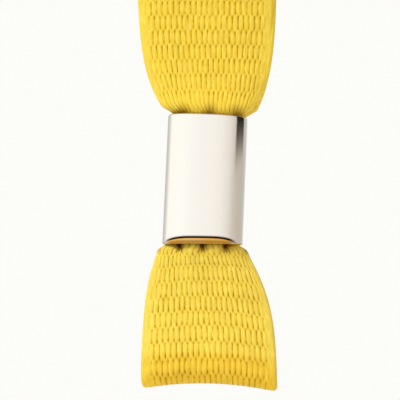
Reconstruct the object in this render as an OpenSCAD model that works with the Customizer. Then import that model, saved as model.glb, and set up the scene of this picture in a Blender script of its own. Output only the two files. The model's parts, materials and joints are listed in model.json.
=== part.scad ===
// Short strap of flat woven webbing, gathered through a flattened metal sleeve.
// Above the sleeve the webbing is a hanging loop, below it a small loop for a hook.
// Origin: inside top of the hanging loop, where it hangs. +Z up, -Y is the front.

/* [Webbing] */
// Width of the flat webbing
web_w = 15; // [12:0.5:20]
// Thickness of one layer of webbing
web_t = 1; // [0.6:0.05:1.2]
// Distance over which the gathered webbing spreads out again
gather_len = 3.8; // [2.5:0.1:6]

/* [Hanging loop] */
// Height from the inside top of the hanging loop down to the sleeve
loop_h = 70; // [45:1:160]
// Inside depth of the hanging loop, front to back
loop_inside = 16; // [8:0.5:24]

/* [Metal sleeve] */
// Width of the flattened sleeve
sleeve_w = 8.8; // [7:0.1:11]
// Depth of the flattened sleeve, front to back
sleeve_d = 5.2; // [4.4:0.1:6.5]
// Length of the sleeve along the webbing
sleeve_h = 14.2; // [8:0.1:20]
// Thickness of the sheet metal
sleeve_wall = 0.5; // [0.3:0.05:0.7]
// Gap where the two edges of the sheet meet at the back
seam_gap = 0.3; // [0.1:0.05:0.6]
// Lean of the sleeve to the left, in degrees
sleeve_lean = 2.5; // [0:0.5:5]

/* [Hook loop] */
// Height of the hook loop below the sleeve
hook_h = 15.3; // [12:0.1:25]
// Inside depth of the hook loop at its fold, front to back
hook_inside = 2.4; // [1:0.1:6]

/* [Hidden] */

// Two layers of webbing lie this far apart where the sleeve pinches them
layer_gap = 0.3;
// The round end of a loop stays this far outside the sleeve's edge
sleeve_clearance = 0.85;
// Clearance between the two pieces of webbing that meet at a flex line
flex_gap = 0.2;
// The two layers stay together for this distance past a flex line
pinch_len = 5;
// The gathered webbing is this much wider than the sleeve at its top and bottom edges
top_bulge = 0.6;
bottom_bulge = 0;
// How far the spread of the gathered webbing is drawn, in gather lengths
gather_reach = 5;
// Clearance between the gripped webbing and the metal
grip_gap = 0.05;
// A cut end of the webbing stops this far inside the sleeve
tail_inset = 4;
// Ridges and depth of the pleats that the sleeve presses into the webbing
pleats = 4;
pleat_depth = 0.25;
// Squareness of the sleeve's cross-section, where 2 is an ellipse
squareness = 2.6;
// Sides of a full circle, steps on a leg, on the gather, round the sleeve and across one pleat
circle_sides = 96;
leg_steps = 16;
gather_steps = 12;
sleeve_steps = 72;
pleat_steps = 8;

web_colour = "gold";
metal_colour = "gainsboro";

// Half depth of the two layers where they are pinched together
pinch_r = web_t + layer_gap / 2;
// The webbing flexes about a line this far outside the sleeve's edge
flex_rise = pinch_r + sleeve_clearance;
// From one flex line to the other, through the sleeve
sleeve_span = sleeve_h + 2 * flex_rise;
// The sleeve's lower edge lies this far to the side of the straight webbing
lower_mouth_x = -(sleeve_h + flex_rise) * sin(sleeve_lean);
cavity_w = sleeve_w - 2 * sleeve_wall - 2 * grip_gap;
cavity_d = sleeve_d - 2 * sleeve_wall - 2 * grip_gap;
// The gripped webbing stands out of the sleeve up to the round end of the next piece,
// and its higher corner on the leaning sleeve keeps the clearance too
neck_rise = sleeve_clearance - flex_gap - cavity_w / 2 * sin(sleeve_lean);
layer_pitch = (cavity_d - 2 * pleat_depth) / 3;
layer_t = layer_pitch - grip_gap;

// Half depth of a loop's centreline at height z above its flex line
function leg_y(z, fold_z, fold_r) =
    let (narrow = (web_t + layer_gap) / 2)
    let (s = min(1, max(0, (fold_z - z) / (fold_z - pinch_len))))
    narrow + (fold_r - narrow) * (1 + cos(180 * s)) / 2;

// Outline round both legs seen from the side, out by grow from their centrelines. The flex line is at 0, 0
function legs_outline(fold_z, fold_r, grow) =
    let (zs = [for (i = [0 : leg_steps]) fold_z * i / leg_steps])
    concat(
        [for (z = zs) [leg_y(z, fold_z, fold_r) + grow, z]],
        [for (i = [leg_steps : -1 : 0]) [-leg_y(zs[i], fold_z, fold_r) - grow, zs[i]]]
    );

// One edge of the gathered webbing, at a distance from the sleeve. side is -1 or 1
function edge_x(side, distance, mouth_x, mouth_w) =
    side * web_w / 2 + (mouth_x - side * (web_w - mouth_w) / 2) * exp(-distance / gather_len);

// Outline of a loop seen from the front, from the sleeve's edge to above its top
function front_outline(top, mouth_x, mouth_w) =
    let (reach = [for (i = [0 : gather_steps]) gather_reach * gather_len * i / gather_steps])
    concat(
        [for (d = reach) [edge_x(1, d, mouth_x, mouth_w), d - flex_rise]],
        [[web_w / 2, top + reach[gather_steps]], [-web_w / 2, top + reach[gather_steps]]],
        [for (i = [gather_steps : -1 : 0]) [edge_x(-1, reach[i], mouth_x, mouth_w), reach[i] - flex_rise]]
    );

// Flattened round outline of the sleeve
function sleeve_outline(w, d) = [
    for (i = [0 : sleeve_steps - 1])
        let (a = 360 * i / sleeve_steps)
        [sign(cos(a)) * pow(abs(cos(a)), 2 / squareness) * w / 2,
         sign(sin(a)) * pow(abs(sin(a)), 2 / squareness) * d / 2]
];

// Side view of a closed loop: two legs from the flex line at 0, 0 up to a round fold
module loop_profile(fold_z, fold_r) {
    outer_r = fold_r + web_t / 2;
    difference() {
        polygon(legs_outline(fold_z, fold_r, web_t / 2));
        polygon(legs_outline(fold_z, fold_r, -web_t / 2));
    }
    translate([0, fold_z])
        intersection() {
            difference() {
                circle(r = outer_r, $fn = circle_sides);
                circle(r = outer_r - web_t, $fn = circle_sides);
            }
            translate([-outer_r, 0])
                square([2 * outer_r, outer_r]);
        }
    circle(r = pinch_r, $fn = circle_sides);
}

// Closed loop of webbing that stands on its flex line, height measured to the outside of its fold.
// mouth_x and mouth_w are the place and width of the gathered webbing at the sleeve's edge
module webbing_loop(height, inside, mouth_x, mouth_w) {
    fold_r = (inside + web_t) / 2;
    fold_z = height - fold_r - web_t / 2;
    intersection() {
        rotate([90, 0, 90])
            linear_extrude(2 * web_w, center = true)
                loop_profile(fold_z, fold_r);
        rotate([90, 0, 0])
            linear_extrude(inside + 4 * web_t, center = true)
                polygon(front_outline(height, mouth_x, mouth_w));
    }
}

// One gripped layer of webbing, pressed into pleats. Row -1 is the front one, 0 the middle, 1 the back
module pleated_layer(row, top, bottom) {
    steps = pleats * pleat_steps;
    wave = [for (i = [0 : steps])
        [cavity_w * (i / steps - 0.5), row * layer_pitch + pleat_depth * cos(360 * pleats * i / steps)]];
    translate([0, 0, bottom])
        linear_extrude(top - bottom)
            intersection() {
                polygon(concat(
                    [for (p = wave) p - [0, layer_t / 2]],
                    [for (i = [steps : -1 : 0]) wave[i] + [0, layer_t / 2]]
                ));
                polygon(sleeve_outline(cavity_w, cavity_d));
            }
}

// Places its children in the sleeve's own frame: 0 is the sleeve's top edge
module at_sleeve() {
    translate([0, 0, flex_rise - loop_h])
        rotate([0, sleeve_lean, 0])
            translate([0, 0, -flex_rise])
                children();
}

// Places its children at the flex line under the sleeve
module at_hook_flex() {
    translate([0, 0, flex_rise - loop_h - sleeve_span * cos(sleeve_lean)])
        children();
}

module hanging_loop() {
    color(web_colour)
        translate([0, 0, flex_rise - loop_h])
            webbing_loop(loop_h - flex_rise + web_t, loop_inside, 0, sleeve_w + top_bulge);
}

module crimp_sleeve() {
    color(metal_colour)
        at_sleeve()
            translate([0, 0, -sleeve_h])
                linear_extrude(sleeve_h)
                    difference() {
                        polygon(sleeve_outline(sleeve_w, sleeve_d));
                        polygon(sleeve_outline(sleeve_w - 2 * sleeve_wall, sleeve_d - 2 * sleeve_wall));
                        translate([-seam_gap / 2, 0])
                            square([seam_gap, sleeve_d]);
                    }
}

// Cut end of the hanging loop's front leg
module front_tail() {
    color(web_colour)
        at_sleeve()
            pleated_layer(-1, neck_rise, tail_inset - sleeve_h);
}

// The hanging loop's back leg on its way down into the hook loop
module through_run() {
    color(web_colour)
        at_sleeve()
            pleated_layer(0, neck_rise, -sleeve_h - neck_rise);
}

// Cut end of the hook loop
module return_tail() {
    color(web_colour)
        at_sleeve()
            pleated_layer(1, -tail_inset, -sleeve_h - neck_rise);
}

module hook_loop() {
    color(web_colour)
        at_hook_flex()
            mirror([0, 0, 1])
                webbing_loop(hook_h - flex_rise, hook_inside, lower_mouth_x, sleeve_w + bottom_bulge);
}

hanging_loop();
crimp_sleeve();
front_tail();
through_run();
return_tail();
hook_loop();
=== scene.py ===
import json
import math
from dataclasses import dataclass

import bpy
import numpy as np
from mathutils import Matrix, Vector


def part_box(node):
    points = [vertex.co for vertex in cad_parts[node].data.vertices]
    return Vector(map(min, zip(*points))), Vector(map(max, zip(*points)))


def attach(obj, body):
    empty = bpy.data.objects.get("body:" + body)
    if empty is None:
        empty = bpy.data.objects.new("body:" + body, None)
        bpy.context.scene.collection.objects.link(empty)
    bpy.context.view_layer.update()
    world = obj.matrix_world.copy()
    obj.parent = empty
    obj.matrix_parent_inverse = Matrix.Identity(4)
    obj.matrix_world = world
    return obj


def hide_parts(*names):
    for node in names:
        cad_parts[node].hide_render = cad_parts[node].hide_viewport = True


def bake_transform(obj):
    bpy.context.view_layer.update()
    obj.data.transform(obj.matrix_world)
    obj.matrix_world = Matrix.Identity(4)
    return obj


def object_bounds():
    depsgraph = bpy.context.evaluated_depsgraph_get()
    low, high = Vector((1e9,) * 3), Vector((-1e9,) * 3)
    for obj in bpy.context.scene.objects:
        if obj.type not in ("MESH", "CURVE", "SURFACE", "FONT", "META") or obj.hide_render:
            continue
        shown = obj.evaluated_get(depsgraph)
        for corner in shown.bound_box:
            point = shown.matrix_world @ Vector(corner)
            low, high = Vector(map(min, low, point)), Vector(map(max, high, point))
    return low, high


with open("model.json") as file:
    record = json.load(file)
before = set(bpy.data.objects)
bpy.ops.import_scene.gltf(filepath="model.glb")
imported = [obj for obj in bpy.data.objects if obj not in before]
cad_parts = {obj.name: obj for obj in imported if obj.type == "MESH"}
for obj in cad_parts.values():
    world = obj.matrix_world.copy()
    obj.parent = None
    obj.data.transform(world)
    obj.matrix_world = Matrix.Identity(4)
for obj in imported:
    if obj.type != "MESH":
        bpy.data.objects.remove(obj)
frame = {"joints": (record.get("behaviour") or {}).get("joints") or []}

CAD_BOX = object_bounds()
MM = 0.001

# --- Places that come from the frame, in metres --------------------------------------------
PIVOT = {joint["name"]: Vector(joint["pos_m"]) for joint in frame["joints"]}
UPPER_FLEX = PIVOT["upper_flex"]
LOWER_FLEX = PIVOT["lower_flex"]
LOOP_LOW, LOOP_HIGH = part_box("hanging_loop")
HOOK_LOW, HOOK_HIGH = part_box("hook_loop")
SLEEVE_LOW, SLEEVE_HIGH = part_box("crimp_sleeve")

# --- Webbing, in millimetres ---------------------------------------------------------------
WEB_W = 15.0
WEB_T = 1.0
FLEX_RISE = 2.0                 # from the sleeve's edge out to a flex line
PINCH_LEN = 5.0                 # the two layers stay together this far past a flex line
LAYER_GAP = 0.3
NARROW = (WEB_T + LAYER_GAP) / 2
LAYER_STEP = 1.2                # from the middle layer in the sleeve to the ones before and behind it
COLUMNS = 24.5                  # floats side by side across the webbing
STEPS_PER_COLUMN = 6            # points across one float
ROW_PITCH = 1.65                # length of one row of floats
RELIEF = 0.14                   # height of a float over the slit beside it
HOLE_DEPTH = 0.05               # how much deeper the holes at a float's ends are
SELVAGE = 1.7                   # width of the smoother border
EDGE_ROUND = 0.5                # this much of the border is rounded off
CAMBER = 0.65                   # the webbing's sides lie this far behind its middle
TUCK = 4.0                      # cut ends stop this far inside the sleeve

# --- Metal sleeve, in millimetres ----------------------------------------------------------
SLEEVE_W = 8.75
SLEEVE_D = (SLEEVE_HIGH.y - SLEEVE_LOW.y) / MM
SLEEVE_H = 14.2
SLEEVE_WALL = 0.5
SEAM_GAP = 0.3
SLEEVE_LEAN = math.radians(2.5)
SQUARENESS = 2.6                # of its cross-section, where 2 is an ellipse
LIP_H = 0.55                    # height of the lip turned out under the front
FULL_LIP = 0.3                  # where the lip is lower than this, its crease and wear fade away
LEVELLED = 0.75                 # part of the lean that the cut of the lower rim takes away
RIM_RISE = 0.14                 # that cut lets the webbing start this much higher
DENT_R = 0.2 * MM               # a tiny dent low on the front
DENT = (0.9 * MM, SLEEVE_LOW.y, SLEEVE_LOW.z + 2.7 * MM)

# The sleeve's edges at their middle
UPPER_RIM = UPPER_FLEX.z / MM - FLEX_RISE
LOWER_RIM_X = -(SLEEVE_H + FLEX_RISE) * math.sin(SLEEVE_LEAN)
LOWER_RIM = UPPER_FLEX.z / MM - (SLEEVE_H + FLEX_RISE) * math.cos(SLEEVE_LEAN)


def smoothstep(low, high, value):
    t = np.clip((value - low) / (high - low), 0, 1)
    return t * t * (3 - 2 * t)


def new_object(name, data):
    obj = bpy.data.objects.new(name, data)
    bpy.context.scene.collection.objects.link(obj)
    return obj


def point_attribute(mesh, label, values):
    attribute = mesh.attributes.new(label, "FLOAT", "POINT")
    attribute.data.foreach_set("value", values.astype(np.float32))


# --- Camera --------------------------------------------------------------------------------
LENS = 100.0
SENSOR = 36.0
NEAREST = 0.005                 # nearest distance that the camera sees, in metres
VIEW_W = 43.7                   # width of the view at the webbing, in millimetres
VIEW_X = -0.96                  # the view's centre, in millimetres
VIEW_BELOW_RIM = 9.1            # how far the view's centre is below the sleeve's top edge
ELEVATION = math.radians(-6)


def make_camera():
    data = bpy.data.cameras.new("camera")
    data.lens = LENS
    data.sensor_width = SENSOR
    data.clip_start = NEAREST
    camera = new_object("camera", data)
    target = Vector((VIEW_X * MM, 0, UPPER_FLEX.z - (FLEX_RISE + VIEW_BELOW_RIM) * MM))
    back = Vector((0, -math.cos(ELEVATION), math.sin(ELEVATION)))
    camera.location = target + back * (VIEW_W * MM * LENS / SENSOR)
    camera.rotation_mode = "QUATERNION"
    camera.rotation_quaternion = (-back).to_track_quat("-Z", "Y")
    bpy.context.scene.camera = camera


make_camera()


# --- The weave -----------------------------------------------------------------------------
def value_noise(x, y, seed):
    """Smooth repeatable noise from -1 to 1, one lump per unit of x and y."""
    size = 128
    table = np.random.default_rng(seed).uniform(-1, 1, (size, size))
    xi, yi = np.floor(x).astype(int), np.floor(y).astype(int)
    fx, fy = x - xi, y - yi
    fx, fy = fx * fx * (3 - 2 * fx), fy * fy * (3 - 2 * fy)
    low = table[yi % size, xi % size] * (1 - fx) + table[yi % size, (xi + 1) % size] * fx
    high = table[(yi + 1) % size, xi % size] * (1 - fx) + table[(yi + 1) % size, (xi + 1) % size] * fx
    return low * (1 - fy) + high * fy


def bell(value, middle, spread):
    return np.exp(-(((value - middle) / spread) ** 2))


def weave(across, along, seed):
    """Height of the weave, 0 in a slit and 1 on a float, and how deep in a hole, at (column, row) places."""
    size = 256
    half_float = 0.68               # half the length of a float in rows: the rows reach into each other
    full_part = 0.55                # a float keeps its full width over this part of its half length
    lift = np.random.default_rng(seed).uniform(0.80, 1.0, (size, size))
    along = along + 0.07 * value_noise(across * 0.8, along * 0.9, seed + 1)
    across = across + 0.10 * value_noise(across * 0.7, along * 1.5, seed + 2)
    row = np.floor(along)
    height = np.zeros_like(across)
    for near in (-1, 0, 1):
        near_row = row + near
        reach = np.abs(along - (near_row + 0.5)) / half_float
        place = across + 0.5 * np.mod(near_row, 2)
        column = np.floor(place)
        side = place - column - 0.5
        width = 1.0 - 0.5 * smoothstep(full_part, 1.0, reach)
        dome = np.sqrt(np.clip(1 - (2 * side / width) ** 2, 0, 1))
        taper = np.clip(1 - reach**4, 0, 1)
        own = lift[near_row.astype(int) % size, column.astype(int) % size]
        height = np.maximum(height, dome * taper * own)

    # small holes lie in the slits, near both ends of a row
    gap = np.mod(across + 0.5 * np.mod(row, 2) + 0.5, 1.0) - 0.5
    end = along - row
    holes = 0.6 * bell(end, 0.12, 0.09) + bell(end, 0.86, 0.10)
    hole = bell(gap, 0, 0.15) * holes * (0.7 + 0.3 * value_noise(across, along, seed + 3))
    return height, hole


# --- The webbing's path and surface --------------------------------------------------------
@dataclass
class Mouth:
    """How the webbing gathers at one edge of the sleeve. Lengths in millimetres, angles in radians."""

    x: float                    # its middle at the sleeve's edge
    rest_x: float               # its middle where it lies flat
    shift_len: float            # distance over which the middle moves from x to rest_x
    back_x: float               # the back layer lies this far to the right, the front one to the left
    full_w: float               # width where it lies flat
    edge_w: float               # width that it springs out to past the edge
    spread_by: float            # distance over which it springs out
    gather: float               # distance over which it widens from edge_w to full_w
    gather_power: float         # 1 widens at once, more widens later
    bulge: float                # how far the layers stand out past the edge
    bulge_h: float              # distance from the edge where they stand out most
    pleat: float                # depth of the pleats at the edge
    pleat_pitch: float          # from one pleat to the next
    pleat_len: float            # distance over which the pleats fade
    shade: float                # how much shade is painted into the pockets between the pleats, 0 to 1
    rim_lean: float             # lean of the rows of floats at the edge
    inside_w: float = 7.4       # width inside the sleeve
    roll: float = 1.15          # how far the sides roll back where the webbing is gathered
    layer_y: float = LAYER_STEP  # from the middle plane to the layers at the edge
    arch: float = 0.9           # the sides lie this much further back at the edge
    free_edge: float = 0.0      # part of the lean that the sides don't take
    edge_lift: float = 0.0      # how far the sides stand out of the edge
    stretch: float = 0.0        # the front layer is stretched at the edge and has this many rows fewer
    bow: float = 0.0            # how far the middle of the rows arches up
    tilt: float = 0.0           # slope of the far rows
    crease: float = 0.0         # depth of the soft crease before the fold
    fold_shade: float = 0.0            # how much shade is painted where the fold turns under, 0 to 1


@dataclass
class Strip:
    """One stretch of webbing that makes a loop: in from the sleeve, round its fold and back.

    Heights are measured from the sleeve's edge, outwards from the sleeve. In the methods S is -1 to 1
    across the webbing, and Y and H say where its layer is.
    """

    up: int                     # 1 above the sleeve and -1 below it
    rim: float                  # z of the sleeve's edge at its middle
    height: float               # out to the outside of the fold
    fold_r: float               # radius of the fold's centreline
    mouth: Mouth
    depths: tuple               # where the front and back layers lie deep inside the sleeve
    ends: tuple                 # how far the front and back layers reach inside the sleeve
    first_row: float            # length along the strip at which a row of floats starts
    fine: float                 # distance between rows of points on the front layer, up to fine_h
    coarse: float               # and elsewhere
    fine_h: float

    @property
    def fold_h(self):
        return self.height - self.fold_r - WEB_T / 2

    def leg(self, h, deep):
        """Distance of a layer from the middle plane."""
        mouth = self.mouth
        settle_len = 1.5
        s = np.clip((self.fold_h - h) / (self.fold_h - FLEX_RISE - PINCH_LEN), 0, 1)
        out = NARROW + (self.fold_r - NARROW) * (1 + np.cos(np.pi * s)) / 2
        near = np.maximum(h, 0)
        out = out + (mouth.layer_y - NARROW) * np.exp(-near / settle_len)
        out = out + mouth.bulge * near / mouth.bulge_h * np.exp(1 - near / mouth.bulge_h)
        inside = deep + (mouth.layer_y - deep) * np.exp(np.minimum(h, 0) / settle_len)
        return np.where(h >= 0, out, inside)

    def path(self):
        """Centreline as (y, height) points from the front end to the back end."""
        step = 0.05
        front_h = np.arange(-self.ends[0], self.fold_h, step)
        back_h = np.arange(self.fold_h, -self.ends[1], -step)
        turn = np.linspace(np.pi, 0, max(24, int(np.pi * self.fold_r / step)))
        front = np.stack([-self.leg(front_h, self.depths[0]), front_h], 1)
        arc = np.stack([self.fold_r * np.cos(turn), self.fold_h + self.fold_r * np.sin(turn)], 1)
        back = np.stack([self.leg(back_h, self.depths[1]), back_h], 1)
        return np.concatenate([front, arc[1:-1], back])

    def rows(self):
        """Length along the strip, y and height at each row of points, closer together at the front."""
        points = self.path()
        run = np.concatenate([[0], np.cumsum(np.linalg.norm(np.diff(points, axis=0), axis=1))])
        in_front = (points[:, 0] < 0) & (points[:, 1] > 0) & (points[:, 1] < self.fine_h)
        dense = 1 / np.where(in_front, self.fine, self.coarse)
        count = np.concatenate([[0], np.cumsum(np.diff(run) * dense[1:])])
        lengths = np.interp(np.linspace(0, count[-1], int(count[-1]) + 1), count, run)
        return lengths, np.interp(lengths, run, points[:, 0]), np.interp(lengths, run, points[:, 1])

    def place_x(self, S, Y, H):
        """Place across. The sides roll back where the webbing is gathered."""
        mouth = self.mouth
        out = np.maximum(H, 0)
        gather = np.exp(-((out / mouth.gather) ** mouth.gather_power))
        roll = mouth.roll * gather + 0.1
        spread = np.sin(S * roll) / np.sin(roll)
        sprung = smoothstep(0.0, mouth.spread_by, H)
        outside_w = mouth.full_w - (mouth.full_w - mouth.edge_w) * gather
        inside_w = mouth.inside_w * (1 - 0.18 * np.abs(backness(Y)) * smoothstep(0, 2, -H))
        width = inside_w + (outside_w - inside_w) * sprung
        shift = np.exp(-((out / mouth.shift_len) ** 1.5))
        centre = mouth.x * shift + mouth.rest_x * (1 - shift) + mouth.back_x * backness(Y) * sprung
        return centre + width / 2 * spread + self.up * np.minimum(H, 0) * math.tan(SLEEVE_LEAN)

    def valley(self, X):
        """1 in the valley between two pleats and 0 on a pleat."""
        return 0.5 + 0.5 * np.cos(2 * np.pi * (X - self.mouth.x) / self.mouth.pleat_pitch)

    def place_y(self, S, Y, H, X):
        """Depth. The sides curve back to the middle plane, and the gathered webbing has pleats."""
        mouth = self.mouth
        out = np.maximum(H, 0)
        facing = np.where(H >= self.fold_h, Y / self.fold_r, np.sign(Y))
        arch = (CAMBER + mouth.arch * np.exp(-out / 3)) * np.abs(S) ** 2.2
        arch = arch * (0.25 + 0.75 * smoothstep(-1, 0.5, H))
        pleat = mouth.pleat * np.exp(-((out / mouth.pleat_len) ** 1.5)) * smoothstep(-1.5, 0, H)
        pleat = pleat * (0.7 - 0.3 * backness(Y)) * self.valley(X) ** 1.3
        ripple = 0.10 * value_noise(X / 5.0 + 20, H / 4.0 + 20, 5) * smoothstep(1, 5, H)
        from_fold = self.fold_h - H
        creased = smoothstep(3.2, 1.5, from_fold) * smoothstep(-0.4, 0.4, from_fold) * (0.65 - 0.35 * S)
        ripple = ripple + mouth.crease * np.cos(2 * np.pi * from_fold / 2.2) * creased
        return Y - facing * (arch + pleat + ripple)

    def place_z(self, S, H, X):
        """Height. The rows follow the sleeve's edge at first, and lie straighter further out."""
        mouth = self.mouth
        side = np.abs(S) ** 3
        lean = mouth.rim_lean * (1 - smoothstep(0, 5, H))
        z = self.rim + self.up * H - (X - mouth.x) * np.sin(lean) * (1 - mouth.free_edge * side)
        z = z + self.up * mouth.edge_lift * side * np.exp(-np.maximum(H, 0)) * smoothstep(-1, 0, H)
        far = smoothstep(0, 0.8 * self.fold_h, H)
        return z + mouth.bow * (1 - S**2) * smoothstep(0, 3, H) - mouth.tilt * (X - mouth.x) * far

    def pocket_shade(self, H, X):
        """How much shade is painted in a pocket between pleats by the sleeve's edge, 0 to 1."""
        by_rim = smoothstep(1.4, 0.5, H) * smoothstep(-1, 0, H)
        between = np.clip(1.7 * self.valley(X) - 0.6, 0, 1)
        return np.clip(self.mouth.shade * by_rim * (0.12 + between), 0, 1)

    def fold_shade(self, H):
        """How much shade is painted where the fold turns under, 0 to 1. It starts just before the fold and
        is full on the fold's outside.
        """
        before = smoothstep(self.fold_h - 1.7, self.fold_h - 0.5, H)
        outside = smoothstep(self.fold_h, self.fold_h + 1.5, H)
        return self.mouth.fold_shade * (0.7 * before + 0.3 * outside)


def backness(Y):
    """-1 on the front layer and 1 on the back layer."""
    return np.tanh(Y / 1.5)


def grid_faces(rows, columns):
    """Faces of a closed slab made of two grids that share their outer columns, as a list of index lists."""
    outer = np.arange(rows * columns).reshape(rows, columns)
    inner = rows * columns + np.arange(rows * (columns - 2)).reshape(rows, columns - 2)
    inner = np.concatenate([outer[:, :1], inner, outer[:, -1:]], 1)

    def quads(grid):
        corners = (grid[:-1, :-1], grid[:-1, 1:], grid[1:, 1:], grid[1:, :-1])
        return np.stack([corner.ravel() for corner in corners], 1)

    faces = np.concatenate([quads(outer), quads(inner)[:, ::-1]]).tolist()
    for row, turn in ((0, 1), (rows - 1, -1)):
        for i in range(columns - 1):
            ring = [outer[row, i], inner[row, i], inner[row, i + 1], outer[row, i + 1]]
            ring = list(dict.fromkeys(int(v) for v in ring))[::turn]
            if len(ring) > 2:
                faces.append(ring)
    return faces


def surface_normals(points, row, column):
    """Unit normals of a grid of points, turned so that the one at this row and column faces the front."""
    normal = np.cross(np.gradient(points, axis=1), np.gradient(points, axis=0))
    normal /= np.linalg.norm(normal, axis=2, keepdims=True) + 1e-12
    return -normal if normal[row, column, 1] > 0 else normal


def build_strip(name, strip, material):
    """Closed mesh of a strip with its weave, pleats and rounded selvages, and the strip's length."""
    lengths, y, h = strip.rows()
    s = np.linspace(-1, 1, int(COLUMNS * STEPS_PER_COLUMN) + 1)
    S, Y = np.meshgrid(s, y)
    _, H = np.meshgrid(s, h)
    _, L = np.meshgrid(s, lengths)
    X = strip.place_x(S, Y, H)
    middle = np.stack([X, strip.place_y(S, Y, H, X), strip.place_z(S, H, X)], 2)
    normal = surface_normals(middle, len(y) // 4, len(s) // 2)

    columns = (S + 1) / 2 * COLUMNS
    rows = (L - strip.first_row) / ROW_PITCH
    rows = rows + strip.mouth.stretch * smoothstep(4.0, 0.2, H) * (Y < 0)
    edge = (1 - np.abs(S)) * WEB_W / 2
    fade = 0.2 + 0.8 * smoothstep(0.3, SELVAGE, edge)
    rounding = np.clip(EDGE_ROUND - edge, 0, EDGE_ROUND) / EDGE_ROUND
    round_edge = np.sqrt(np.clip(1 - rounding**2, 0, 1))
    core = WEB_T / 2 - RELIEF / 2
    border = 0.85                   # the smooth border is coloured as this height of the weave
    sides = []
    heights = []
    for seed, direction, shift in ((11, 1, 0), (23, -1, 0.5)):
        height, hole = weave(columns + shift, rows, seed)
        lift = (core + (height - 0.5) * RELIEF * fade - HOLE_DEPTH * hole * fade) * round_edge
        sides.append(middle + direction * normal * lift[..., None])
        # the colour follows the weave's height, lowered further in the holes: painted shade in the slits and
        # holes
        heights.append(border + (np.clip(height - 0.45 * hole, 0, 1) - border) * fade)

    def both_sides(out, inn):
        return np.concatenate([out.ravel(), inn[:, 1:-1].ravel()])

    verts = np.concatenate([sides[0].reshape(-1, 3), sides[1][:, 1:-1].reshape(-1, 3)]) * MM
    mesh = bpy.data.meshes.new(name)
    mesh.from_pydata(verts.tolist(), [], grid_faces(len(y), len(s)))
    mesh.update()
    mesh.shade_smooth()
    mesh.materials.append(material)
    # painted shade in the pockets between the pleats by the sleeve's edge
    pocket_shade = strip.pocket_shade(H, X)
    # painted shade where the fold turns under
    fold_shade = strip.fold_shade(H)
    across = (S + 1) / 2 * WEB_W
    other_side = 40                 # the second side shows another stretch of the thread pattern
    point_attribute(mesh, "weave", both_sides(*heights))
    point_attribute(mesh, "pocket_shade", both_sides(pocket_shade, pocket_shade))
    point_attribute(mesh, "fold_shade", both_sides(fold_shade, fold_shade))
    point_attribute(mesh, "across_mm", both_sides(across, across + other_side))
    point_attribute(mesh, "along_mm", both_sides(L, L))
    return new_object(name, mesh), lengths[-1]


# --- Shader nodes --------------------------------------------------------------------------
def fill(tree, socket, value):
    """Links value to the socket if it is another node's output, else makes it the socket's own value."""
    if isinstance(value, bpy.types.NodeSocket):
        tree.links.new(value, socket)
    else:
        socket.default_value = value


def add_node(tree, kind, inputs=None, **settings):
    """New node. Each input is a value or another node's output."""
    node = tree.nodes.new("ShaderNode" + kind)
    for name, value in settings.items():
        setattr(node, name, value)
    for name, value in (inputs or {}).items():
        fill(tree, node.inputs[name], value)
    return node


def attribute(tree, name):
    return add_node(tree, "Attribute", attribute_name=name).outputs["Fac"]


def noise(tree, place, scale, detail):
    inputs = {"Vector": place, "Scale": scale, "Detail": detail}
    return add_node(tree, "TexNoise", inputs).outputs["Fac"]


def scaled(tree, place, scale):
    return add_node(tree, "Mapping", {"Vector": place, "Scale": scale}).outputs["Vector"]


def remap(tree, value, from_range, to_range=(0.0, 1.0), interpolation="LINEAR"):
    inputs = {
        "Value": value,
        "From Min": from_range[0],
        "From Max": from_range[1],
        "To Min": to_range[0],
        "To Max": to_range[1],
    }
    return add_node(tree, "MapRange", inputs, interpolation_type=interpolation).outputs["Result"]


def maths(tree, operation, a, b):
    node = add_node(tree, "Math", operation=operation)
    fill(tree, node.inputs[0], a)
    fill(tree, node.inputs[1], b)
    return node.outputs["Value"]


def mix_colour(tree, factor, a, b, blend="MIX"):
    inputs = {"Factor": factor, "A": a, "B": b}
    return add_node(tree, "Mix", inputs, data_type="RGBA", blend_type=blend).outputs["Result"]


def colour_ramp(tree, value, stops):
    """Colour that goes through stops, which are pairs of position and colour."""
    node = add_node(tree, "ValToRGB", {"Fac": value})
    elements = node.color_ramp.elements
    while len(elements) < len(stops):
        elements.new(0.5)
    for element, (position, colour) in zip(elements, stops):
        element.position = position
        element.color = colour
    return node.outputs["Color"]


def new_material(name):
    material = bpy.data.materials.new(name)
    material.use_nodes = True
    return material, material.node_tree, material.node_tree.nodes["Principled BSDF"]


# --- Materials -----------------------------------------------------------------------------
# painted shade: the slits between the floats and the floats' flanks are coloured darker and more orange than
# the floats' tops
SLIT_SHADE_COLOUR = (0.37, 0.190, 0.001, 1)
FLANK_SHADE_COLOUR = (0.80, 0.500, 0.016, 1)
# pale flecks: random thread tone that also stands in for painted highlights on the floats' tops
PALE_THREAD_HIGHLIGHT = (0.94, 0.76, 0.17, 1)
# painted shade where the fold turns under
FOLD_SHADE_TINT = (0.98, 0.84, 0.38, 1)
# painted shade for the pockets between the pleats under the sleeve's edge
POCKET_SHADE_TINT = (0.27, 0.085, 0.0, 1)
FILAMENTS_PER_MM = (4.5, 0.9, 1.0)      # across, along and through the webbing


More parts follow.
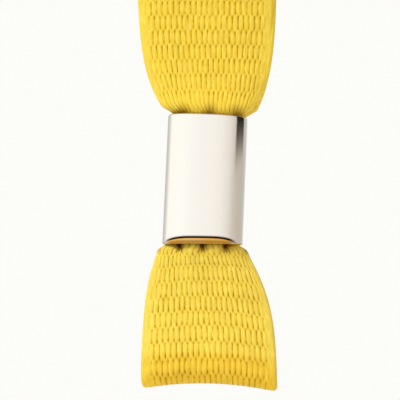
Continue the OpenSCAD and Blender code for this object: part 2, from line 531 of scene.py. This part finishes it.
def webbing_material(name, float_colour):
    """Golden yellow polyester weave with painted shade in the slits between its floats, in the pockets by
    the sleeve and where the fold turns under, and pale flecks that are partly painted highlights.
    """
    material, tree, shader = new_material(name)
    height = attribute(tree, "weave")
    where = {"X": attribute(tree, "across_mm"), "Y": attribute(tree, "along_mm")}
    place = add_node(tree, "CombineXYZ", where).outputs["Vector"]
    filaments = noise(tree, scaled(tree, place, FILAMENTS_PER_MM), 1.0, 3.0)
    patches = noise(tree, place, 0.35, 2.0)

    # the ramp paints shade: darkest in the slits and holes, lighter on the flanks, full colour on the floats
    woven = colour_ramp(tree, height, ((0.05, SLIT_SHADE_COLOUR), (0.42, FLANK_SHADE_COLOUR), (0.68, float_colour)))
    # pale flecks at random places: partly thread tone, partly painted highlights
    pale = mix_colour(tree, remap(tree, filaments, (0.52, 0.72), (0.0, 0.5)), woven, PALE_THREAD_HIGHLIGHT)
    filament_tone = remap(tree, filaments, (0.25, 0.75), (0.86, 1.08))
    patch_tone = remap(tree, patches, (0.3, 0.7), (0.96, 1.03))
    toned = add_node(tree, "VectorMath", operation="SCALE")
    fill(tree, toned.inputs[0], pale)
    fill(tree, toned.inputs["Scale"], maths(tree, "MULTIPLY", filament_tone, patch_tone))
    # painted shade where the fold turns under
    fold_shaded = mix_colour(tree, attribute(tree, "fold_shade"), toned.outputs["Vector"], FOLD_SHADE_TINT, "MULTIPLY")
    # painted shade in the pockets between the pleats
    pocket_shaded = mix_colour(tree, attribute(tree, "pocket_shade"), fold_shaded, POCKET_SHADE_TINT, "MULTIPLY")
    bump = add_node(tree, "Bump", {"Strength": 0.35, "Distance": 0.05 * MM, "Height": filaments})

    fill(tree, shader.inputs["Base Color"], pocket_shaded)
    fill(tree, shader.inputs["Roughness"], remap(tree, height, (0.0, 1.0), (0.75, 0.48)))
    fill(tree, shader.inputs["Normal"], bump.outputs["Normal"])
    shader.inputs["Sheen Weight"].default_value = 0.04
    shader.inputs["Sheen Roughness"].default_value = 0.4
    shader.inputs["Specular IOR Level"].default_value = 0.12
    return material


NICKEL = (0.885, 0.868, 0.825, 1)
BRIGHT_LINE = (0.915, 0.897, 0.855, 1)
# brass on the lip: partly worn plating, partly a painted reflection of the yellow webbing
BRASS_WEAR_AND_REFLECTION = (0.76, 0.38, 0.040, 1)
# painted shade in the pressed crease under the front
CREASE_SHADE = (0.035, 0.025, 0.012, 1)
LINES_PER_M = (9000.0, 9000.0, 500.0)   # fine lines that run along the sleeve


def metal_material():
    """Bright nickel plate with faint smudges, with brass on the lip that is partly wear and partly a painted
    reflection of the webbing, and painted shade in the crease.
    """
    material, tree, shader = new_material("bright_nickel")
    place = add_node(tree, "TexCoord").outputs["Object"]
    smudge = noise(tree, place, 260.0, 4.0)
    lines = noise(tree, scaled(tree, place, LINES_PER_M), 1.0, 2.0)
    plate = mix_colour(tree, lines, NICKEL, BRIGHT_LINE)
    # the lip's brass is partly wear and partly a painted reflection of the yellow webbing
    lip_wear_and_reflection = maths(tree, "MULTIPLY", attribute(tree, "lip"), remap(tree, smudge, (0.35, 0.65), (0.85, 1.0)))
    lip_brassed = mix_colour(tree, lip_wear_and_reflection, plate, BRASS_WEAR_AND_REFLECTION)
    # painted shade in the crease
    crease_shaded = mix_colour(tree, attribute(tree, "crease"), lip_brassed, CREASE_SHADE)

    bump = add_node(tree, "Bump", {"Strength": 0.06, "Distance": 0.02 * MM, "Height": smudge})
    away = add_node(tree, "VectorMath", operation="DISTANCE")
    fill(tree, away.inputs[0], place)
    fill(tree, away.inputs[1], DENT)
    bowl = remap(tree, away.outputs["Value"], (0.0, DENT_R), interpolation="SMOOTHSTEP")
    dented = {"Distance": 0.1 * DENT_R, "Height": bowl, "Normal": bump.outputs["Normal"]}
    dent = add_node(tree, "Bump", dented)

    fill(tree, shader.inputs["Base Color"], crease_shaded)
    fill(tree, shader.inputs["Roughness"], remap(tree, smudge, (0.0, 1.0), (0.05, 0.11)))
    fill(tree, shader.inputs["Normal"], dent.outputs["Normal"])
    shader.inputs["Metallic"].default_value = 1.0
    return material


# --- Pieces --------------------------------------------------------------------------------
def make_hanging_strap():
    mouth = Mouth(
        x=0.16,
        rest_x=-0.16,
        shift_len=5.0,
        back_x=0.30,
        full_w=15.35,
        edge_w=8.25,
        spread_by=1.3,
        gather=4.0,
        gather_power=1.0,
        bulge=0.8,
        bulge_h=0.8,
        pleat=0.5,
        pleat_pitch=2.8,
        pleat_len=0.6,
        shade=0.45,
        rim_lean=SLEEVE_LEAN,
        free_edge=0.6,
        edge_lift=0.4,
        stretch=0.75,
    )
    strip = Strip(
        up=1,
        rim=UPPER_RIM,
        height=LOOP_HIGH.z / MM - UPPER_RIM,
        fold_r=(LOOP_HIGH.y - LOOP_LOW.y) / MM / 2 - WEB_T / 2,
        mouth=mouth,
        depths=(LAYER_STEP, 0.0),
        ends=(SLEEVE_H - TUCK, SLEEVE_H / 2),
        first_row=SLEEVE_H - TUCK + 0.22,
        fine=0.17,
        coarse=0.62,
        fine_h=13.5,
    )
    material = webbing_material("yellow_webbing", (0.94, 0.680, 0.070, 1))
    strap, length = build_strip("strap_webbing", strip, material)
    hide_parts("hanging_loop", "front_tail")
    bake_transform(strap)


def make_hook_strap():
    mouth = Mouth(
        x=LOWER_RIM_X,
        rest_x=0.10,
        shift_len=6.2,
        back_x=0.1,
        full_w=14.55,
        edge_w=8.6,
        spread_by=0.9,
        gather=4.3,
        gather_power=1.25,
        bulge=0.5,
        bulge_h=1.0,
        pleat=1.25,
        pleat_pitch=2.4,
        pleat_len=0.9,
        shade=1.0,
        rim_lean=(1 - LEVELLED) * SLEEVE_LEAN,
        bow=0.72,
        tilt=0.026,
        crease=0.13,
        fold_shade=1.0,
    )
    rim = LOWER_RIM + RIM_RISE
    droop = 0.18                    # the fold's ends hang this far below the plain CAD solid
    strip = Strip(
        up=-1,
        rim=rim,
        height=rim - HOOK_LOW.z / MM + droop,
        fold_r=(HOOK_HIGH.y - HOOK_LOW.y) / MM / 2 - WEB_T / 2,
        mouth=mouth,
        depths=(0.0, LAYER_STEP),
        ends=(SLEEVE_H / 2, SLEEVE_H - TUCK),
        first_row=SLEEVE_H / 2 - 0.02,
        fine=0.12,
        coarse=0.22,
        fine_h=16.0,
    )
    material = webbing_material("paler_webbing", (0.95, 0.715, 0.098, 1))
    strap, length = build_strip("hook_webbing", strip, material)
    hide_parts("hook_loop", "through_run", "return_tail")
    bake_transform(strap)


def sleeve_path(steps):
    """Points and normals round the sleeve, from one side of the seam at the back to the other."""
    fine_steps = 4000
    turn = np.linspace(0, 2 * np.pi, fine_steps + 1)
    x = np.sign(np.sin(turn)) * np.abs(np.sin(turn)) ** (2 / SQUARENESS) * SLEEVE_W / 2
    y = np.sign(np.cos(turn)) * np.abs(np.cos(turn)) ** (2 / SQUARENESS) * SLEEVE_D / 2
    run = np.concatenate([[0], np.cumsum(np.hypot(np.diff(x), np.diff(y)))])
    at = np.linspace(SEAM_GAP / 2, run[-1] - SEAM_GAP / 2, steps)
    x, y = np.interp(at, run, x), np.interp(at, run, y)
    along_x, along_y = np.gradient(x), np.gradient(y)
    size = np.hypot(along_x, along_y)
    return x, y, -along_y / size, along_x / size


def sheet_section(lip):
    """Outline of the sheet metal where the lip is this high: rows of depth, height, crease (painted shade)
    and lip (wear and painted reflection).

    It goes down the outside, over the pressed crease, round the lip and up the inside.
    """
    turned = min(1.0, lip / FULL_LIP)
    crease_w = 0.14
    crease_d = 0.18 * turned
    corner = 0.12
    bevel = 0.08
    lip_d = 0.40                    # how far the lip curls in under the sheet
    low = bevel + lip
    outer = []
    for turn in np.linspace(math.pi / 2, 0, 5):
        outer.append((corner * (1 - math.cos(turn)), SLEEVE_H - corner + corner * math.sin(turn), 0, 0))
    for part in (0.96, 0.75, 0.5, 0.25, 0.12):
        outer.append((0, SLEEVE_H * part, 0, 0))
    outer.append((0, low + 2.2 * crease_w, 0, 0))
    # the third column paints shade into the pressed crease; the fourth paints the lip's brass, partly wear
    # and partly a painted reflection
    outer.append((0.1 * crease_d, low + 1.2 * crease_w, 0.72 * turned, 0))
    outer.append((crease_d, low + 0.5 * crease_w, turned, 0))
    outer.append((0.3 * crease_d, low, 0.6 * turned, 1))
    for turn in np.linspace(0.1, math.pi / 2, 8):
        outer.append((0.02 + lip_d * (1 - math.cos(turn)), low * (1 - math.sin(turn)), 0, turned))
    inner = [(SLEEVE_WALL, 0.06, 0, 0.5 * turned)]
    for part in (0.08, 0.5, 0.92):
        inner.append((SLEEVE_WALL, SLEEVE_H * part, 0, 0))
    inner.append((SLEEVE_WALL, SLEEVE_H - bevel, 0, 0))
    inner.append((SLEEVE_WALL - bevel, SLEEVE_H, 0, 0))
    return np.array(outer + inner)


def make_sleeve():
    x, y, normal_x, normal_y = sleeve_path(200)
    side = len(x) // 4
    if normal_x[side] * x[side] < 0:
        normal_x, normal_y = -normal_x, -normal_y

    # the lip is on the front only, a little left of the middle, and gets lower towards its ends
    lip_left = 0.06
    lip_reach = 0.90
    from_middle = (x / (SLEEVE_W / 2) + lip_left) / lip_reach
    arc = np.clip(1 - np.abs(from_middle) ** 4, 0, 1) * (y < 0)
    sections = np.array([sheet_section(LIP_H * part) for part in arc])
    depth, height, crease, lip = (sections[:, :, column] for column in range(4))
    own_x = x[:, None] - normal_x[:, None] * depth
    own_y = y[:, None] - normal_y[:, None] * depth
    raised = LEVELLED * math.sin(SLEEVE_LEAN) * (x[:, None] + SLEEVE_W / 2)
    own_z = height - SLEEVE_H - FLEX_RISE + raised * (1 - height / SLEEVE_H)
    leaned_x = own_x * math.cos(SLEEVE_LEAN) + own_z * math.sin(SLEEVE_LEAN)
    leaned_z = -own_x * math.sin(SLEEVE_LEAN) + own_z * math.cos(SLEEVE_LEAN) + UPPER_FLEX.z / MM
    verts = np.stack([leaned_x, own_y, leaned_z], 2).reshape(-1, 3) * MM

    count = sections.shape[1]
    faces = []
    for i in range(len(x) - 1):
        for j in range(count):
            k = (j + 1) % count
            faces.append((i * count + j, i * count + k, (i + 1) * count + k, (i + 1) * count + j))
    faces.append(tuple(range(count))[::-1])
    faces.append(tuple(range((len(x) - 1) * count, len(x) * count)))
    mesh = bpy.data.meshes.new("crimp_sleeve_metal")
    mesh.from_pydata(verts.tolist(), [], faces)
    mesh.update()
    mesh.shade_smooth()
    mesh.set_sharp_from_angle(angle=math.radians(50))
    mesh.materials.append(metal_material())
    # crease: painted shade in the pressed crease
    point_attribute(mesh, "crease", np.clip(crease.ravel(), 0, 1))
    # lip: brass wear together with a painted reflection of the webbing
    point_attribute(mesh, "lip", np.clip(lip.ravel(), 0, 1))
    sleeve = new_object("crimp_sleeve_metal", mesh)
    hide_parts("crimp_sleeve")
    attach(sleeve, "sleeve")


make_sleeve()
make_hanging_strap()
make_hook_strap()

# --- Studio --------------------------------------------------------------------------------
FLOOR_R = 0.5
FLOOR_BELOW = 0.06              # from the part's lowest point down to the floor, in metres
FLOOR_TONES = ((0.90, 0.90, 0.885, 1), (0.94, 0.94, 0.925, 1))
ROOM_STRENGTH = 1.15
AMBIENT = (0.44, 0.44, 0.44)    # light that the room gives to everything but polished metal
BACKDROP = (0.972, 0.970, 0.940)

# What polished metal sees round it: pairs of an angle from the front, in degrees, and a colour.
# Panels are bright in front and on the left, and duller on the right.
BEHIND = (0.80, 0.79, 0.76, 1)
PANELS = (
    (-180, BEHIND),
    (-145, (0.50, 0.48, 0.44, 1)),
    (-118, (0.66, 0.64, 0.60, 1)),
    (-92, (0.97, 0.95, 0.90, 1)),
    (-30, (0.96, 0.96, 0.92, 1)),
    (0, (0.91, 0.88, 0.85, 1)),
    (17, (0.85, 0.81, 0.76, 1)),
    (35, (0.74, 0.69, 0.63, 1)),
    (50, (0.60, 0.54, 0.48, 1)),
    (75, (0.53, 0.47, 0.41, 1)),
    (110, (0.50, 0.47, 0.42, 1)),
    (135, (0.55, 0.53, 0.50, 1)),
    (180, BEHIND),
)
GROUND = (0.50, 0.48, 0.455, 1)
CEILING = (0.30, 0.29, 0.28, 1)
DARK_PANEL = (0.02, 0.016, 0.012, 1)


def area_light(name, place, target, size, watts, colour=(1, 1, 1)):
    data = bpy.data.lights.new(name, "AREA")
    data.size = size
    data.energy = watts
    data.color = colour
    light = new_object(name, data)
    light.location = place
    direction = Vector(target) - Vector(place)
    light.rotation_mode = "QUATERNION"
    light.rotation_quaternion = direction.to_track_quat("-Z", "Y")
    light.visible_glossy = False


def floor_material():
    """Pale floor with faint mottling that fades out towards its edge."""
    material, tree, shader = new_material("floor_white")
    place = add_node(tree, "TexCoord").outputs["Object"]
    tone = mix_colour(tree, noise(tree, place, 30.0, 2.0), *FLOOR_TONES)
    reach = add_node(tree, "VectorMath", operation="LENGTH")
    fill(tree, reach.inputs[0], place)
    fading = (0.98 * FLOOR_R, 0.15 * FLOOR_R)
    solid = remap(tree, reach.outputs["Value"], fading, interpolation="SMOOTHSTEP")
    fill(tree, shader.inputs["Base Color"], tone)
    fill(tree, shader.inputs["Alpha"], solid)
    shader.inputs["Roughness"].default_value = 0.7
    return material


def make_floor():
    sides = 64
    turns = np.arange(sides) * 2 * math.pi / sides
    ring = [(FLOOR_R * math.cos(turn), FLOOR_R * math.sin(turn), 0) for turn in turns]
    mesh = bpy.data.meshes.new("floor")
    mesh.from_pydata(ring, [], [tuple(range(sides))])
    mesh.materials.append(floor_material())
    floor = new_object("floor", mesh)
    floor.location.z = CAD_BOX[0].z - FLOOR_BELOW
    floor.visible_glossy = False


def rising(tree, value, low, high):
    """Goes smoothly from 0 to 1 while value goes from low to high."""
    return remap(tree, value, (low, high), interpolation="SMOOTHSTEP")


def reflected_room(tree):
    """Colour of the room that polished metal sees: panels, ground, ceiling and one dark panel."""
    direction = add_node(tree, "TexCoord").outputs["Generated"]
    split = add_node(tree, "SeparateXYZ", {"Vector": direction}).outputs
    turn = maths(tree, "ARCTAN2", split["X"], maths(tree, "MULTIPLY", split["Y"], -1))
    stops = [(degrees / 360 + 0.5, colour) for degrees, colour in PANELS]
    panels = colour_ramp(tree, remap(tree, turn, (-math.pi, math.pi)), stops)
    grounded = mix_colour(tree, rising(tree, split["Z"], -0.42, -0.58), panels, GROUND)
    room = mix_colour(tree, rising(tree, split["Z"], 0.30, 0.85), grounded, CEILING)

    left = rising(tree, turn, math.radians(50), math.radians(58))
    right = rising(tree, turn, math.radians(108), math.radians(98))
    above = rising(tree, split["Z"], 0.092, 0.128)
    dark = maths(tree, "MULTIPLY", maths(tree, "MULTIPLY", left, right), above)
    return mix_colour(tree, dark, room, DARK_PANEL)


def make_world():
    """Even white room, in which only polished metal sees the panels."""
    world = bpy.data.worlds.new("studio")
    bpy.context.scene.world = world
    world.use_nodes = True
    tree = world.node_tree
    rays = add_node(tree, "LightPath").outputs
    ambient = (*(part / ROOM_STRENGTH for part in AMBIENT), 1)
    backdrop = (*(part / ROOM_STRENGTH for part in BACKDROP), 1)
    seen = mix_colour(tree, rays["Is Camera Ray"], ambient, backdrop)
    colour = mix_colour(tree, rays["Is Glossy Ray"], seen, reflected_room(tree))
    background = tree.nodes["Background"]
    fill(tree, background.inputs["Color"], colour)
    background.inputs["Strength"].default_value = ROOM_STRENGTH


make_floor()
make_world()
area_light("key", (-0.31, -0.26, 0.26), UPPER_FLEX, size=0.16, watts=1.9)
area_light("warm_fill", (0.30, -0.22, -0.02), UPPER_FLEX, size=0.2, watts=0.28, colour=(1.0, 0.86, 0.60))
area_light("low_fill", (0.0, -0.20, -0.36), LOWER_FLEX, size=0.2, watts=0.16, colour=(1.0, 0.90, 0.70))
area_light("back_top", (0.0, 0.35, 0.30), UPPER_FLEX, size=0.3, watts=0.8)
bpy.context.scene.view_settings.view_transform = "Standard"
